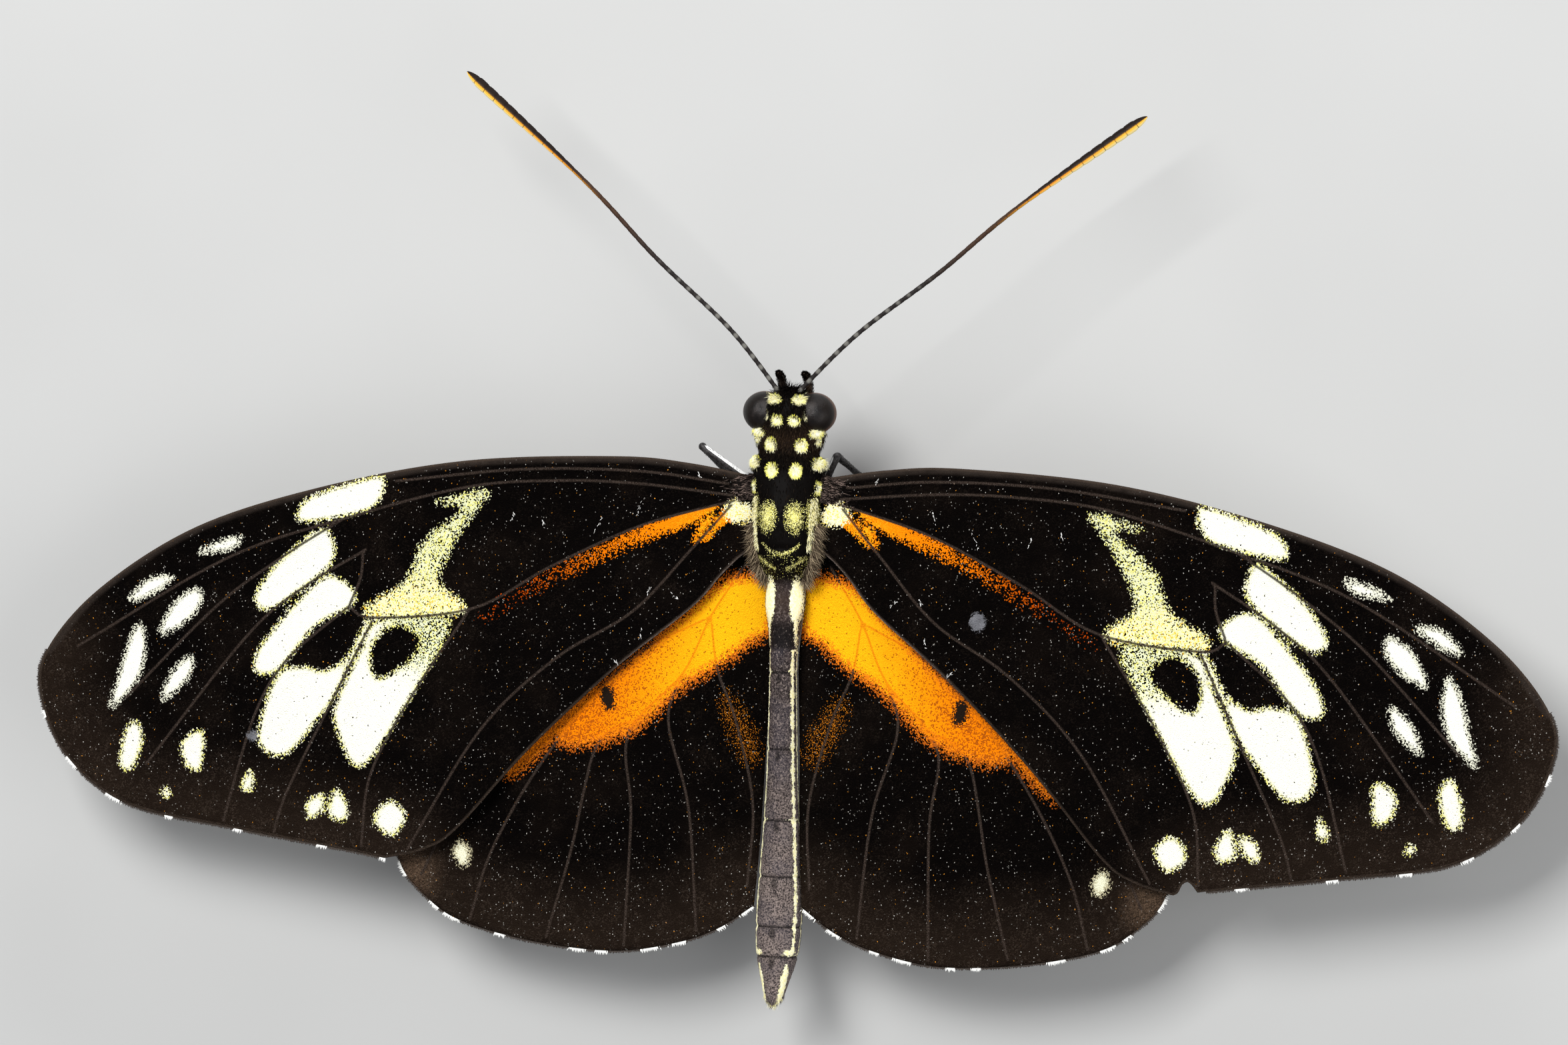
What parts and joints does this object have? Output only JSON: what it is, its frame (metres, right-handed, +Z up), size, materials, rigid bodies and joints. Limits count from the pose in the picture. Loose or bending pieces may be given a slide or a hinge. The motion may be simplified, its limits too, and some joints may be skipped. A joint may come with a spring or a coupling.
{
  "type": "butterfly",
  "caption": "Tiger longwing butterfly with long dark wings spread flat, cream spots and an orange hindwing band, standing on its legs.",
  "frame": {"origin": "on the floor, under the middle of the whole butterfly's box", "axes": "+X is the butterfly's right and the length of its spread wings, +Y is forward, towards the head, +Z is up"},
  "size_m": [0.0926, 0.0558, 0.0118],
  "materials": {
    "abdomen_velvet": "short dark velvet of scales",
    "feeler": "black horn with pale flecks, orange clubs",
    "eye": "glossy dark brown",
    "leg": "grey-black horn",
    "wing_scales": "near-black scales with cream spots",
    "hindwing_scales": "near-black scales with an orange band",
    "head_coat": "dark hair with cream tufts",
    "thorax_coat": "dark hair with yellow dusting",
    "palp_coat": "dark bristly hair",
    "horn": "dark brown horn"
  },
  "bodies": {
    "root": {"abdomen": "abdomen_velvet", "antenna_left": "feeler", "antenna_right": "feeler", "eye_left": "eye", "eye_right": "eye", "fore_leg_left": "leg", "fore_leg_right": "leg", "forewing_left": "wing_scales", "forewing_right": "wing_scales", "head": "head_coat", "hind_leg_left": "leg", "hind_leg_right": "leg", "hindwing_left": "hindwing_scales", "hindwing_right": "hindwing_scales", "mid_leg_left": "leg", "mid_leg_right": "leg", "neck": "thorax_coat", "palp_left": "palp_coat", "palp_right": "palp_coat", "proboscis": "horn", "thorax": "thorax_coat"}
  },
  "joints": []
}
